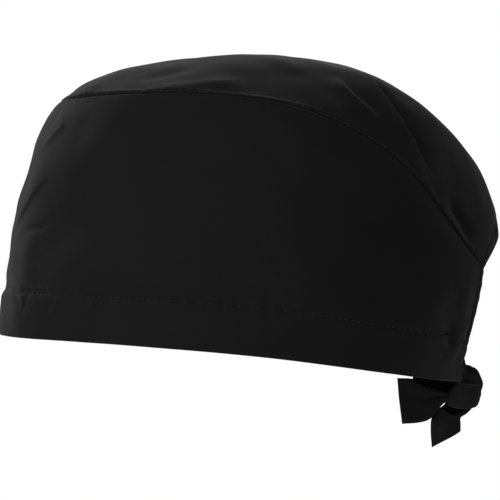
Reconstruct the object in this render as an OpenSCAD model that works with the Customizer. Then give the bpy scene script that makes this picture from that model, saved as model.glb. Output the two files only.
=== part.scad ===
// Tie-back chef cap: a soft cap of two cut panels with a wide stitched hem, an open
// arch at the nape and two cloth ties knotted below it.
// Millimetres. +Z is up, -Y is the forehead and +Y the nape, +X is the wearer's left.
// The origin is the middle of the head opening, level with the hem's front edge.

/* [Head opening] */
// Half-length of the opening, from its middle to the forehead
front_reach = 106.5; // [100:0.5:112]
// Half-length of the opening, from its middle to the nape
nape_reach = 101; // [95:0.5:107]
// Width of the opening across the ears
opening_w = 162; // [150:1:172]
// Rise of the hem's lower edge over each ear
ear_arch = 6; // [2:0.5:9]
// Gap between the two hem ends at the nape
nape_gap = 28; // [24:1:34]

/* [Panels] */
// Height of the cap above the hem's front edge
cap_h = 137.5; // [128:0.5:145]
// Thickness that one cloth panel stands for
cloth_t = 1; // [0.8:0.1:1.4]
// Height of the stitched hem
hem_h = 19.5; // [16:0.5:24]
// Width of the turned edge round the nape arch
edge_w = 7; // [5:0.5:9]
// Width of the seam allowance under the crown seam
allowance_w = 8; // [6:0.5:10]

/* [Ties] */
// Width of each tie where it is sewn into the hem
tie_w = 14; // [10:0.5:15]
// Thickness of a folded tie
tie_t = 1.2; // [1:0.1:1.4]
// Length of the left tail, which stands forward under the hem
left_tail = 22; // [14:0.5:24]
// Length of the right tail, which hangs down
right_tail = 17; // [10:0.5:20]

/* [Stitching] */
// Diameter of the topstitching thread
thread_d = 0.5; // [0.4:0.05:0.7]

/* [Hidden] */

cloth_black = [0.07, 0.07, 0.075];
lining_black = [0.1, 0.1, 0.105];
thread_black = [0.16, 0.16, 0.165];
label_white = [0.85, 0.85, 0.83];

// Scale of the sewn outline against the size it is drawn at below.
kx = opening_w / 162;
ky = (front_reach + nape_reach) / 207.5;
kz = cap_h / 137.5;

// Crown seam on the wearer's left, from the forehead to the top of the nape arch.
left_seam = [
    [0, -91, 106], [29, -85, 107.5], [51, -63, 111], [63, -31, 114], [68, 4, 113.5],
    [68, 34, 105.5], [64, 59, 92], [56.5, 77.5, 75], [45, 91.5, 61], [29, 102.5, 52]
];
// Top of the crown in the middle plane, from the seam at the forehead to the arch.
crown_ridge = [
    [0, -91, 106], [0, -80, 115.5], [0, -56, 126], [0, -22, 134], [0, 14, 137.5],
    [0, 46, 133], [0, 74, 119.5], [0, 95, 100.5], [0, 107, 82], [0, 111.5, 66.5]
];

round_steps = 40;       // grid steps on each side, from the forehead to the nape
wall_steps = 12;        // grid steps up the side panel
crown_steps = 16;       // grid steps across the crown
layer_gap = 0.2;        // air between two cloth layers that lie on each other
thread_lift = 0.2;      // air between a thread and the flat facets under it
wrap_r = 8;             // outer radius of the knot's wrap
wrap_h = 9.6;           // height of the wrap
core_r = 3.9;           // radius of the tie bundle inside the wrap
wrap_gap = 0.3;         // air between the wrap and what it holds

// Edges of the left tail from the knot to its cut end: [y, z] above and [y, z] below,
// from the middle of the knot.
left_tail_edges = [
    [[-8.6, -1.2], [-8.6, -5.2]], [[-14.8, 0.5], [-12, -9.5]], [[-19.4, 1.4], [-14.7, -12.9]],
    [[-23.5, 3.4], [-19.1, -14.9]], [[-30.6, 3.8], [-26.9, -16.2]]
];
// Edges of the right tail, in front and behind, in the same way.
right_tail_edges = [
    [[-8.5, -8.2], [-1.5, -8.2]], [[-12.2, -11], [-0.6, -10.5]],
    [[-12.8, -17], [-0.6, -13.5]], [[-12.5, -25], [-0.6, -16.5]]
];

// ---------- curves ----------

function unit(v) = v / norm(v);
function mix(a, b, f) = a + (b - a) * f;
function clamp01(x) = max(0, min(1, x));
function mirrored(p) = [-p.x, p.y, p.z];

// Catmull-Rom curve through a list of points, for t from 0 to 1.
function spline(pts, t) =
    let(n = len(pts) - 1, u = clamp01(t) * n, i = min(floor(u), n - 1), f = u - i,
        b = pts[i], c = pts[i + 1],
        a = i > 0 ? pts[i - 1] : 2 * b - c,
        d = i < n - 1 ? pts[i + 2] : 2 * c - b)
    (2 * b + (c - a) * f + (2 * a - 5 * b + 4 * c - d) * f * f
        + (3 * b - a - 3 * c + d) * f * f * f) / 2;

function scaled(pts) = [for (p = pts) [p.x * kx, p.y * ky, p.z * kz]];
whole_seam = scaled(concat(
    [for (i = [len(left_seam) - 1:-1:1]) mirrored(left_seam[i])], left_seam));
ridge = scaled(crown_ridge);

// s runs round the cap, from -1 at the right end of the hem to 0 at the forehead and 1
// at the left end.
function seam(s) = spline(whole_seam, (s + 1) / 2);

end_angle = 180 - asin(nape_gap / opening_w);
function hem(s) =
    let(angle = end_angle * s, reach = cos(angle) > 0 ? front_reach : nape_reach)
    [opening_w / 2 * sin(angle), -reach * cos(angle), ear_arch * pow(sin(angle), 2)];

knot_at = [0, hem(1).y + 4.5, -5];

// Height of the hem's stitching: a little more over the ears, less where the ties pull.
function hem_top(s) =
    hem_h + pow(sin(180 * s), 4) - 3 * pow(clamp01((abs(s) - 0.8) / 0.2), 2);

// Outward direction, in plan, of the hem's ellipse at a point on it.
function outward(p) = unit([p.x / pow(opening_w / 2, 2), p.y / pow(105 * ky, 2), 0]);

// ---------- surfaces ----------

// Side panel: t runs up from the hem's lower edge to the crown seam.
function wall(s, t) =
    let(a = hem(s), d = seam(s), out = outward(a), rise = d.z - a.z,
        side = sin(abs(s) * 180), nape = clamp01((abs(s) - 0.6) / 0.4),
        b = a + [0, 0, 0.36 * rise] + (1.5 + 2.5 * side) * out,
        c = d - [0, 0, (0.22 + 0.1 * side + 0.08 * nape) * rise]
            + (13 + 2 * side - 12.5 * nape) * out,
        r = 1 - t)
    r * r * r * a + 3 * r * r * t * b + 3 * r * t * t * c + t * t * t * d;

// Crown: v runs back from the forehead to the arch, u runs across from -1 to 1.
function crown(v, u) =
    let(edge = seam(v), top = spline(ridge, pow(v, 1.25)), f = 1 - pow(abs(u), 2.3))
    [edge.x * u, mix(edge.y, top.y, f), mix(edge.z, top.z, f)];

h = 0.004; // step of the finite differences below
function wall_normal(s, t) =
    let(s0 = max(-1, s - h), s1 = min(1, s + h), t0 = max(0, t - h), t1 = min(1, t + h))
    unit(cross(wall(s1, t) - wall(s0, t), wall(s, t1) - wall(s, t0)));
function crown_normal(v, u) =
    let(w = max(v, 3 * h), v0 = w - h, v1 = min(1, w + h),
        u0 = max(-1, u - h), u1 = min(1, u + h))
    unit(cross(crown(w, u1) - crown(w, u0), crown(v1, u) - crown(v0, u)));
// Both panels share this direction along the seam, so that their edges meet face to face.
function seam_normal(s) =
    unit(wall_normal(s, 1) + crown_normal(abs(s), s == 0 ? 0 : sign(s)));

// A point under the outer surface, by a depth.
function in_wall(s, t, depth) =
    wall(s, t) - depth * (t == 1 ? seam_normal(s) : wall_normal(s, t));
function in_crown(v, u, depth) =
    crown(v, u) - depth * (v == 0 ? seam_normal(0)
        : abs(u) == 1 ? seam_normal(v * sign(u)) : crown_normal(v, u));

// The t at which the side panel is a given height above its own lower edge.
function t_at(s, height, low = 0, high = 1, n = 14) =
    let(mid = (low + high) / 2)
    n == 0 ? mid
        : wall(s, mid).z - hem(s).z < height ? t_at(s, height, mid, high, n - 1)
        : t_at(s, height, low, mid, n - 1);

// ---------- solids ----------

// Closed solid between two grids of points. With pole, row 0 is one point.
module sheet(outer, inner, pole = false) {
    n = len(outer) - 1;
    m = len(outer[0]) - 1;
    function at(layer, i, j) =
        layer * (n + 1) * (m + 1) + (pole && i == 0 ? 0 : i * (m + 1) + j);
    function quad(a, b, c, d) = [[a, b, c], [a, c, d]];
    faces = concat(
        [for (i = [0:n - 1], j = [0:m - 1])
            each quad(at(0, i, j), at(0, i + 1, j), at(0, i + 1, j + 1), at(0, i, j + 1))],
        [for (i = [0:n - 1], j = [0:m - 1])
            each quad(at(1, i, j), at(1, i, j + 1), at(1, i + 1, j + 1), at(1, i + 1, j))],
        [for (i = [0:n - 1])
            each quad(at(0, i, 0), at(1, i, 0), at(1, i + 1, 0), at(0, i + 1, 0))],
        [for (i = [0:n - 1])
            each quad(at(0, i + 1, m), at(1, i + 1, m), at(1, i, m), at(0, i, m))],
        [for (j = [0:m - 1])
            each quad(at(0, 0, j + 1), at(1, 0, j + 1), at(1, 0, j), at(0, 0, j))],
        [for (j = [0:m - 1])
            each quad(at(0, n, j), at(1, n, j), at(1, n, j + 1), at(0, n, j + 1))]);
    polyhedron(
        points = concat([for (row = outer) each row], [for (row = inner) each row]),
        faces = [for (f = faces) if (f[0] != f[1] && f[1] != f[2] && f[0] != f[2]) f],
        convexity = 6);
}

// Square thread swept through points on a surface, standing on its outer side.
module thread(route, normals) {
    n = len(route) - 1;
    across = [for (i = [0:n]) unit(cross(
        route[min(i + 1, n)] - route[max(i - 1, 0)], normals[i]))];
    function row(lift) = [for (i = [0:n]) [for (side = [-0.5, 0.5])
        route[i] + lift * normals[i] + side * thread_d * across[i]]];
    sheet(row(thread_lift + thread_d), row(thread_lift));
}

// Strip through cross-sections of [lower point, upper point, depth direction].
module strip(sections, thick) {
    sheet([for (c = sections) [c[0], c[1]]],
        [for (c = sections) [c[0] + thick * c[2], c[1] + thick * c[2]]]);
}

module both_sides() {
    children();
    mirror([1, 0, 0]) children();
}

round_grid = [for (i = [-round_steps:round_steps]) i / round_steps];
half_grid = [for (i = [0:round_steps]) i / round_steps];
left_end = [for (i = [0:6]) 0.93 + 0.07 * i / 6]; // s over the end of the hem

// ---------- panels ----------

module side_panel() {
    color(cloth_black) sheet(
        [for (s = round_grid) [for (j = [0:wall_steps]) in_wall(s, j / wall_steps, 0)]],
        [for (s = round_grid) [for (j = [0:wall_steps]) in_wall(s, j / wall_steps, cloth_t)]]);
}

module crown_panel() {
    across = [for (j = [0:crown_steps]) 1 - 2 * j / crown_steps];
    color(cloth_black) sheet(
        [for (v = half_grid) [for (u = across) in_crown(v, u, 0)]],
        [for (v = half_grid) [for (u = across) in_crown(v, u, cloth_t)]],
        pole = true);
}

// Depth of the facing's outer face: it opens near the ends to take the ties.
function tunnel(s) =
    cloth_t + layer_gap + (tie_t + layer_gap) * clamp01((abs(s) - 0.86) / 0.06);

module hem_facing() {
    rows = [0.04, 0.5, 1];
    color(lining_black) sheet(
        [for (s = round_grid) [for (f = rows) in_wall(s, t_at(s, hem_top(s) * f), tunnel(s))]],
        [for (s = round_grid)
            [for (f = rows) in_wall(s, t_at(s, hem_top(s) * f), tunnel(s) + cloth_t)]]);
}

// Turned edge on the inside of the side panel, above the hem.
module nape_edge_left() {
    depth = cloth_t + layer_gap;
    low = t_at(1, hem_h + 3);
    rows = [for (i = [0:8]) mix(low, 0.93, i / 8)];
    function inset(t) = 1 - edge_w / norm(wall(1, t) - wall(0.9, t)) * 0.1;
    color(lining_black) sheet(
        [for (t = rows) [in_wall(1, t, depth), in_wall(inset(t), t, depth)]],
        [for (t = rows) [in_wall(1, t, depth + cloth_t),
            in_wall(inset(t), t, depth + cloth_t)]]);
}

module nape_edge_right() {
    mirror([1, 0, 0]) nape_edge_left();
}

// Turned edge on the inside of the crown, across the top of the arch.
module crown_nape_edge() {
    depth = cloth_t + layer_gap;
    across = [for (j = [0:12]) 0.8 - 1.6 * j / 12];
    inset = 1 - edge_w / norm(crown(1, 0) - crown(0.9, 0)) * 0.1;
    color(lining_black) sheet(
        [for (v = [inset, 1]) [for (u = across) in_crown(v, u, depth)]],
        [for (v = [inset, 1]) [for (u = across) in_crown(v, u, depth + cloth_t)]]);
}

// Both raw edges of the crown seam, overlocked together and pressed down the side panel.
module crown_seam_allowance() {
    depth = cloth_t + layer_gap;
    top = 2;
    function down(s, drop) = t_at(s, seam(s).z - hem(s).z - drop);
    reach = [for (i = [-38:38]) i / 40];
    color(lining_black) sheet(
        [for (s = reach) [for (d = [top + allowance_w, top]) in_wall(s, down(s, d), depth)]],
        [for (s = reach)
            [for (d = [top + allowance_w, top]) in_wall(s, down(s, d), depth + cloth_t)]]);
}

module care_label() {
    // Blank satin label, caught under the facing at the left of the nape and pressed flat.
    width = 0.09;
    at = 0.74;
    depth = cloth_t + layer_gap;
    cols = [for (i = [0:4]) at + width * i / 4];
    function rows(s) = [for (f = [0:3]) t_at(s, hem_h + 2 + 9 * f)];
    color(label_white) sheet(
        [for (s = cols) [for (t = rows(s)) in_wall(s, t, depth)]],
        [for (s = cols) [for (t = rows(s)) in_wall(s, t, depth + 0.4)]]);
}

// ---------- topstitching ----------

module hem_stitching() {
    line = [for (s = round_grid) [s, t_at(s, hem_top(s))]];
    color(thread_black) thread(
        [for (p = line) wall(p[0], p[1])], [for (p = line) wall_normal(p[0], p[1])]);
}

// One row along the crown side of the seam, from the arch round the forehead and back.
module crown_stitching() {
    inset = 0.975;
    first = 3; // row of the crown's grid that the stitches follow over the forehead
    back = [for (i = [round_steps - 1:-1:first]) i / round_steps];
    route = concat(
        [for (v = back) [v, -inset]],
        [for (j = [1:crown_steps - 1]) [first / round_steps, 2 * j / crown_steps - 1]],
        [for (i = [first:round_steps - 1]) [i / round_steps, inset]]);
    color(thread_black) thread(
        [for (p = route) crown(p[0], p[1])], [for (p = route) crown_normal(p[0], p[1])]);
}

// Along both turned edges of the arch and across the crown's own edge.
module nape_edge_stitching() {
    s = 0.985;
    rows = [for (i = [0:10]) mix(t_at(s, hem_h + 2), 0.97, i / 10)];
    across = [for (j = [0:12]) 0.92 - 1.84 * j / 12];
    color(thread_black) {
        both_sides() thread([for (t = rows) wall(s, t)], [for (t = rows) wall_normal(s, t)]);
        thread([for (u = across) crown(0.97, u)], [for (u = across) crown_normal(0.97, u)]);
    }
}

// Rows of stitches that close the hem's ends and hold the ties.
module hem_end_tacks() {
    s = 0.985;
    rows = [for (i = [0:5]) t_at(s, 1 + (hem_top(s) - 3) * i / 5)];
    color(thread_black) both_sides()
        thread([for (t = rows) wall(s, t)], [for (t = rows) wall_normal(s, t)]);
}

// ---------- ties ----------

// Sewn into the hem's end, then drawn in to the knot and narrowed by it.
module tie_left() {
    depth = cloth_t + layer_gap;
    low = 1;
    sewn = [for (s = left_end) [
        in_wall(s, t_at(s, low), depth), in_wall(s, t_at(s, low + tie_w), depth),
        -wall_normal(s, t_at(s, low + tie_w / 2))]];
    from = sewn[len(sewn) - 1];
    reach = wrap_r + wrap_gap;
    to = [knot_at + [reach, 0, -3], knot_at + [reach, 0, 4], [0, -1, 0]];
    function drawn(f) = [
        mix(from[0], to[0], f), mix(from[1], to[1], f) + [0, 0, 8 * f * (1 - f)],
        unit(mix(from[2], to[2], f))];
    color(cloth_black) strip(concat(sewn, [for (f = [0.3, 0.65, 1]) drawn(f)]), tie_t);
}

module tie_right() {
    mirror([1, 0, 0]) tie_left();
}

// Turn of the left tie round the bundle.
module knot_wrap() {
    round = 2;
    bore = core_r + wrap_gap;
    color(cloth_black) translate(knot_at) rotate_extrude($fn = 64) difference() {
        translate([0, -wrap_h / 2]) square([wrap_r, wrap_h]);
        translate([-1, -wrap_h / 2 - 1]) square([bore + 1, wrap_h + 2]);
        for (z = [-1, 1]) difference() {
            translate([wrap_r - round, z > 0 ? wrap_h / 2 - round : -wrap_h / 2 - 1])
                square([round + 1, round + 1]);
            translate([wrap_r - round, z * (wrap_h / 2 - round)]) circle(round, $fn = 32);
        }
    }
}

// Bundle of the right tie: its lobe above the wrap and its fold below.
module knot_core() {
    half = wrap_h / 2 + wrap_gap;
    lobe_r = 3.9;
    color(cloth_black) translate(knot_at) {
        cylinder(r = core_r, h = 2 * half + 2, center = true, $fn = 48);
        difference() {
            hull() for (y = [-0.7, 3.6]) translate([0, y, half + 3.4]) sphere(lobe_r, $fn = 32);
            translate([-10, -10, half - 20]) cube(20);
        }
        translate([0, 0, -half - 1.8]) cylinder(r1 = 3, r2 = 5, h = 1.8, $fn = 48);
    }
}

// Flat tail beside the middle plane, at x, grown from its root by a factor.
module tail(edges, x, grow) {
    root = (edges[0][0] + edges[0][1]) / 2;
    function at(p) = let(q = root + grow * (p - root)) knot_at + [x, q.x, q.y];
    color(cloth_black) strip([for (e = edges) [at(e[1]), at(e[0]), [-1, 0, 0]]], tie_t);
}

// Free end of the left tie: it stands forward from the knot, cut square.
module tail_left() {
    tail(left_tail_edges, 4, left_tail / 22);
}

// Free end of the right tie: it hangs down from the knot, cut on the slant.
module tail_right() {
    tail(right_tail_edges, -3, right_tail / 17);
}

side_panel();
crown_panel();
hem_facing();
nape_edge_left();
nape_edge_right();
crown_nape_edge();
crown_seam_allowance();
hem_stitching();
crown_stitching();
nape_edge_stitching();
hem_end_tacks();
tie_left();
tie_right();
knot_wrap();
knot_core();
tail_left();
tail_right();
care_label();
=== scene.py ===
"""Black tie-back chef cap: two cloth panels, a stitched hem, an open arch at the nape and a knot."""

import math

import bpy
import numpy as np
from mathutils import Matrix, Vector, kdtree
from mathutils.bvhtree import BVHTree


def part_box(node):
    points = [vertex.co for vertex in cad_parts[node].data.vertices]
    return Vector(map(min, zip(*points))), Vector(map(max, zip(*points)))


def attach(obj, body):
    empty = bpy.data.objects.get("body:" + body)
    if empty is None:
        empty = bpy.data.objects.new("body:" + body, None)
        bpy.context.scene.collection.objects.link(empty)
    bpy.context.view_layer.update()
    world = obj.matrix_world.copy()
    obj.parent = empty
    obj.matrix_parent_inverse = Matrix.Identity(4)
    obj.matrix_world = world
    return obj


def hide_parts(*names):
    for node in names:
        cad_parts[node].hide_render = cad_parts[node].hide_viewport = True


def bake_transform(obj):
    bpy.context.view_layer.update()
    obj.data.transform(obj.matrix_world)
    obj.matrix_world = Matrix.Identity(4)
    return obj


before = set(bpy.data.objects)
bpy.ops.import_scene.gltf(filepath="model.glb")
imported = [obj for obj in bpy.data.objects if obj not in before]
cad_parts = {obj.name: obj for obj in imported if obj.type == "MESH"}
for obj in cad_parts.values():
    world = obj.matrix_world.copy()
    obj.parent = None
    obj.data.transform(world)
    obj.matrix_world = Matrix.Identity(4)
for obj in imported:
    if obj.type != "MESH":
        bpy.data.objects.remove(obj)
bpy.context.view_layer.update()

MM = 0.001  # shapes are worked out in millimetres in the CAD's frame, and made in metres

# ---------- outline of the cap, in millimetres ----------

FRONT_REACH = 106.5
NAPE_REACH = 101.0
OPENING_WIDTH = 162.0
NAPE_GAP = 28.0
EAR_ARCH = 6.0
HEM_HEIGHT = 19.5
CLOTH = 0.5  # thickness of one layer of twill
PLAN_REACH = 105.0  # half-length of the ellipse that the side panel bulges out from
S_RUN = 292.0  # distance round the side panel that one unit of s is taken for
SEAM_RUN = 250.0  # the same along the crown seam
CLOTH_UNIT = 10.0  # length of cloth that one unit of its UV map stands for

LEFT_SEAM = [
    (0, -91, 106), (29, -85, 107.5), (51, -63, 111), (63, -31, 114), (68, 4, 113.5),
    (68, 34, 105.5), (64, 59, 92), (56.5, 77.5, 75), (45, 91.5, 61), (29, 102.5, 52),
]
CROWN_RIDGE = [
    (0, -91, 106), (0, -80, 115.5), (0, -56, 126), (0, -22, 134), (0, 14, 137.5),
    (0, 46, 133), (0, 74, 119.5), (0, 95, 100.5), (0, 107, 82), (0, 111.5, 66.5),
]
WHOLE_SEAM = [(-x, y, z) for x, y, z in LEFT_SEAM[:0:-1]] + LEFT_SEAM
END_ANGLE = 180 - math.degrees(math.asin(NAPE_GAP / OPENING_WIDTH))
UP = np.array([0.0, 0.0, 1.0])


def unit(v):
    length = np.linalg.norm(v, axis=-1, keepdims=True)
    return v / np.maximum(length, 1e-9)


def catmull_rom(a, b, c, d, f):
    """Point at share f of the way from b to c, on a smooth curve through all four."""
    return (2 * b + (c - a) * f + (2 * a - 5 * b + 4 * c - d) * f**2
            + (3 * b - a - 3 * c + d) * f**3) / 2


def spline(points, t):
    """Curve through points, for t from 0 to 1."""
    p = np.asarray(points, float)
    if p.ndim == 1:
        p = p[:, None]
    n = len(p) - 1
    u = np.clip(np.asarray(t, float), 0, 1) * n
    i = np.minimum(np.floor(u).astype(int), n - 1)
    f = (u - i)[..., None]
    p = np.vstack([2 * p[0] - p[1], p, 2 * p[-1] - p[-2]])
    return catmull_rom(p[i], p[i + 1], p[i + 2], p[i + 3], f)


def hem(s):
    """Lower edge of the hem. s runs from -1 at its right end, by 0 in front, to 1."""
    angle = np.radians(END_ANGLE * np.asarray(s, float))
    reach = np.where(np.cos(angle) > 0, FRONT_REACH, NAPE_REACH)
    return np.stack([OPENING_WIDTH / 2 * np.sin(angle), -reach * np.cos(angle),
                     EAR_ARCH * np.sin(angle) ** 2], -1)


def seam(s):
    return spline(WHOLE_SEAM, (np.asarray(s, float) + 1) / 2)


def hem_top(s):
    """Height of the hem's stitching above its lower edge."""
    s = np.asarray(s, float)
    ends = np.clip((np.abs(s) - 0.8) / 0.2, 0, 1)
    return HEM_HEIGHT + np.sin(np.pi * s) ** 4 - 3 * ends**2


def wall(s, t):
    """Side panel: t runs up from the hem's lower edge to the crown seam."""
    s, t = np.broadcast_arrays(np.asarray(s, float), np.asarray(t, float))
    low, top = hem(s), seam(s)
    out = unit(low * [1 / (OPENING_WIDTH / 2) ** 2, 1 / PLAN_REACH**2, 0])
    rise = (top - low)[..., 2:] * UP
    side = np.sin(np.abs(s) * np.pi)[..., None]
    nape = np.clip((np.abs(s) - 0.6) / 0.4, 0, 1)[..., None]
    belly = low + 0.36 * rise + (1.5 + 2.5 * side) * out
    brow = top - (0.22 + 0.1 * side + 0.08 * nape) * rise + (13 + 2 * side - 12.5 * nape) * out
    t = t[..., None]
    r = 1 - t
    return r**3 * low + 3 * r * r * t * belly + 3 * r * t * t * brow + t**3 * top


def crown(v, u):
    """Crown: v runs back from the forehead to the nape arch, u across from -1 to 1."""
    v, u = np.broadcast_arrays(np.asarray(v, float), np.asarray(u, float))
    edge, top = seam(v), spline(CROWN_RIDGE, v**1.25)
    f = (1 - np.abs(u) ** 2.3)[..., None]
    p = edge * (1 - f) + top * f
    p[..., 0] = edge[..., 0] * u
    return p


def surface_normal(surface, a, b, low, high, step=0.004):
    """Outward normal of surface(a, b), whose arguments stay between low and high."""
    a, b = np.broadcast_arrays(np.asarray(a, float), np.asarray(b, float))
    a = np.clip(a, low[0] + step, high[0] - step)
    b = np.clip(b, low[1] + step, high[1] - step)
    da = surface(a + step, b) - surface(a - step, b)
    db = surface(a, b + step) - surface(a, b - step)
    return unit(np.cross(da, db))


def wall_normal(s, t):
    return surface_normal(wall, s, t, (-1, 0), (1, 1))


def crown_normal(v, u):
    """The crown's front end is a point, so its normals are taken a little behind it."""
    return -surface_normal(crown, v, u, (0.012, -1), (1, 1))


def in_wall(s, t, depth):
    return wall(s, t) - np.asarray(depth)[..., None] * wall_normal(s, t)


def in_crown(v, u, depth):
    return crown(v, u) - np.asarray(depth)[..., None] * crown_normal(v, u)


def crown_run():
    """Length, at the arch, that one unit of v stands for."""
    return np.linalg.norm(crown(1.0, 0.0) - crown(0.95, 0.0)) / 0.05


def height_to_t(s, heights):
    """For each s, the t at which the wall is each of its heights above the lower edge."""
    steps = np.linspace(0, 1, 160)
    result = np.empty((len(s), heights.shape[-1]))
    for i, value in enumerate(s):
        rise = wall(value, steps)[:, 2] - hem(value)[2]
        result[i] = np.interp(heights[i], rise, steps)
    return result


def t_at_nape(height):
    """The t at a height on the rim of the nape arch."""
    return float(height_to_t(np.array([1.0]), np.array([[height]]))[0, 0])


# ---------- relief: folds, puckers and unevenness, in millimetres ----------


def bump(d, width):
    return np.exp(-((d / width) ** 2))


def waves(x, wavelength, seed, spread=0.4, count=5):
    """Uneven ripple of about unit height, with wavelengths spread about one value."""
    draw = np.random.default_rng(seed)
    total = np.zeros_like(x)
    for _ in range(count):
        length = wavelength * (1 + spread * draw.uniform(-1, 1))
        total += np.sin(2 * np.pi * x / length + draw.uniform(0, 2 * np.pi))
    return total / math.sqrt(count)


def unevenness(p, wavelength, seed, count=14):
    """Smooth three-dimensional unevenness of about unit height."""
    draw = np.random.default_rng(seed)
    total = np.zeros(p.shape[:-1])
    for _ in range(count):
        direction = unit(draw.normal(size=3))
        length = wavelength * draw.uniform(0.7, 1.6)
        total += np.sin(2 * np.pi * (p @ direction) / length + draw.uniform(0, 2 * np.pi))
    return total / math.sqrt(count / 2)


def fold(p, normals, route, near, far, height, fade):
    """Ridge (or a crease, with a height below 0) along a route of points. Its slope is
    near wide on the left of the route and far wide on the right. It fades over a share of
    its length at each end."""
    total = np.zeros(p.shape[:-1])
    best = np.full(p.shape[:-1], 1e9)
    lengths = np.linalg.norm(np.diff(route, axis=0), axis=1)
    starts = np.concatenate([[0], np.cumsum(lengths)])
    for a, b, length, start in zip(route[:-1], route[1:], lengths, starts):
        along = np.clip(((p - a) @ (b - a)) / length**2, 0, 1)
        offset = p - (a + along[..., None] * (b - a))
        distance = np.linalg.norm(offset, axis=-1)
        side = np.einsum("...i,...i->...", np.cross(normals, b - a), offset)
        width = np.where(side > 0, near, far)
        share = (start + along * length) / starts[-1]
        ends = np.clip(np.minimum(share, 1 - share) / fade, 0, 1)
        value = height * bump(distance, width) * ends * ends * (3 - 2 * ends)
        total = np.where(distance < best, value, total)
        best = np.minimum(distance, best)
    return total


def folds(p, normals, surface, table, fade=0.35):
    """Sum of a table's folds, whose routes are given by the surface's own two values."""
    total = np.zeros(p.shape[:-1])
    for route, near, far, height in table:
        points = np.array([surface(a, b) for a, b in route])
        total += fold(p, normals, points, near, far, height, fade)
    return total


def run_lengths(route):
    """Length of a route up to each of its points."""
    return np.concatenate([[0], np.cumsum(np.linalg.norm(np.diff(route, axis=0), axis=1))])


def distances(p, route):
    """Distance from each point to a dense route, and how far along the route that is."""
    lengths = run_lengths(route)
    tree = kdtree.KDTree(len(route))
    for i, q in enumerate(route):
        tree.insert(q, i)
    tree.balance()
    found = [tree.find(q)[1:] for q in p.reshape(-1, 3)]
    index = np.array([f[0] for f in found]).reshape(p.shape[:-1])
    return np.array([f[1] for f in found]).reshape(p.shape[:-1]), lengths[index]


# Folds of the side panel: route of (s, t), width on each side, height.
WALL_FOLDS = [
    ([(0.08, 0.97), (0.106, 0.89), (0.123, 0.85), (0.107, 0.79), (0.075, 0.73)], 2.3, 1.5, 0.55),
    ([(0.085, 0.96), (0.082, 0.88), (0.070, 0.80)], 3.0, 3.0, -0.35),
    ([(0.148, 0.65), (0.13, 0.60), (0.12, 0.57), (0.098, 0.51), (0.083, 0.47), (0.055, 0.42),
      (0.035, 0.36)], 1.3, 7.0, 0.68),
    ([(0.04, 1.0), (0.01, 0.90), (-0.01, 0.80), (-0.03, 0.68)], 15, 15, 1.3),
    ([(0.03, 0.60), (0.0, 0.46), (-0.03, 0.30)], 10, 10, 1.2),
    ([(0.12, 0.215), (0.03, 0.185), (-0.08, 0.18), (-0.16, 0.21)], 3.5, 4.0, -1.3),
    ([(0.105, 0.403), (0.142, 0.413), (0.185, 0.434)], 1.3, 1.0, -0.6),
    ([(0.120, 0.41), (0.128, 0.36), (0.138, 0.30), (0.148, 0.233), (0.150, 0.17)], 6.5, 8.0, 0.9),
    ([(0.236, 0.98), (0.218, 0.83), (0.198, 0.675), (0.191, 0.50)], 9, 18, 1.3),
    ([(0.16, 0.93), (0.185, 0.80), (0.17, 0.66)], 7, 6, -0.5),
    ([(0.35, 0.17), (0.414, 0.33), (0.447, 0.53)], 12, 15, 0.9),
    ([(0.28, 0.62), (0.36, 0.70), (0.42, 0.84)], 14, 12, -0.6),
    ([(0.56, 0.30), (0.62, 0.46), (0.64, 0.66)], 13, 13, 0.7),
    ([(0.80, 0.54), (0.86, 0.40), (0.91, 0.26)], 9, 10, -1.3),
    ([(0.72, 0.74), (0.81, 0.56), (0.875, 0.40)], 9, 10, 0.8),
    ([(0.86, 0.76), (0.91, 0.50), (0.955, 0.26)], 6, 7, 0.8),
    ([(-0.06, 0.95), (-0.09, 0.80), (-0.07, 0.64)], 5, 4, 1.0),
    ([(-0.15, 0.72), (-0.12, 0.57), (-0.14, 0.42)], 6, 3, 1.7),
    ([(-0.115, 0.66), (-0.09, 0.54), (-0.10, 0.44)], 3, 3, -1.0),
    ([(-0.24, 0.97), (-0.22, 0.80), (-0.20, 0.60)], 15, 10, 1.2),
    ([(-0.34, 0.20), (-0.42, 0.34), (-0.46, 0.54)], 13, 13, 0.9),
    ([(-0.56, 0.32), (-0.63, 0.48), (-0.65, 0.68)], 12, 14, 0.7),
    ([(-0.80, 0.56), (-0.86, 0.42), (-0.92, 0.28)], 10, 9, -1.2),
    ([(-0.73, 0.76), (-0.82, 0.58), (-0.88, 0.42)], 10, 9, 0.8),
    ([(-0.85, 0.78), (-0.91, 0.50), (-0.955, 0.26)], 7, 6, 0.8),
]
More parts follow.
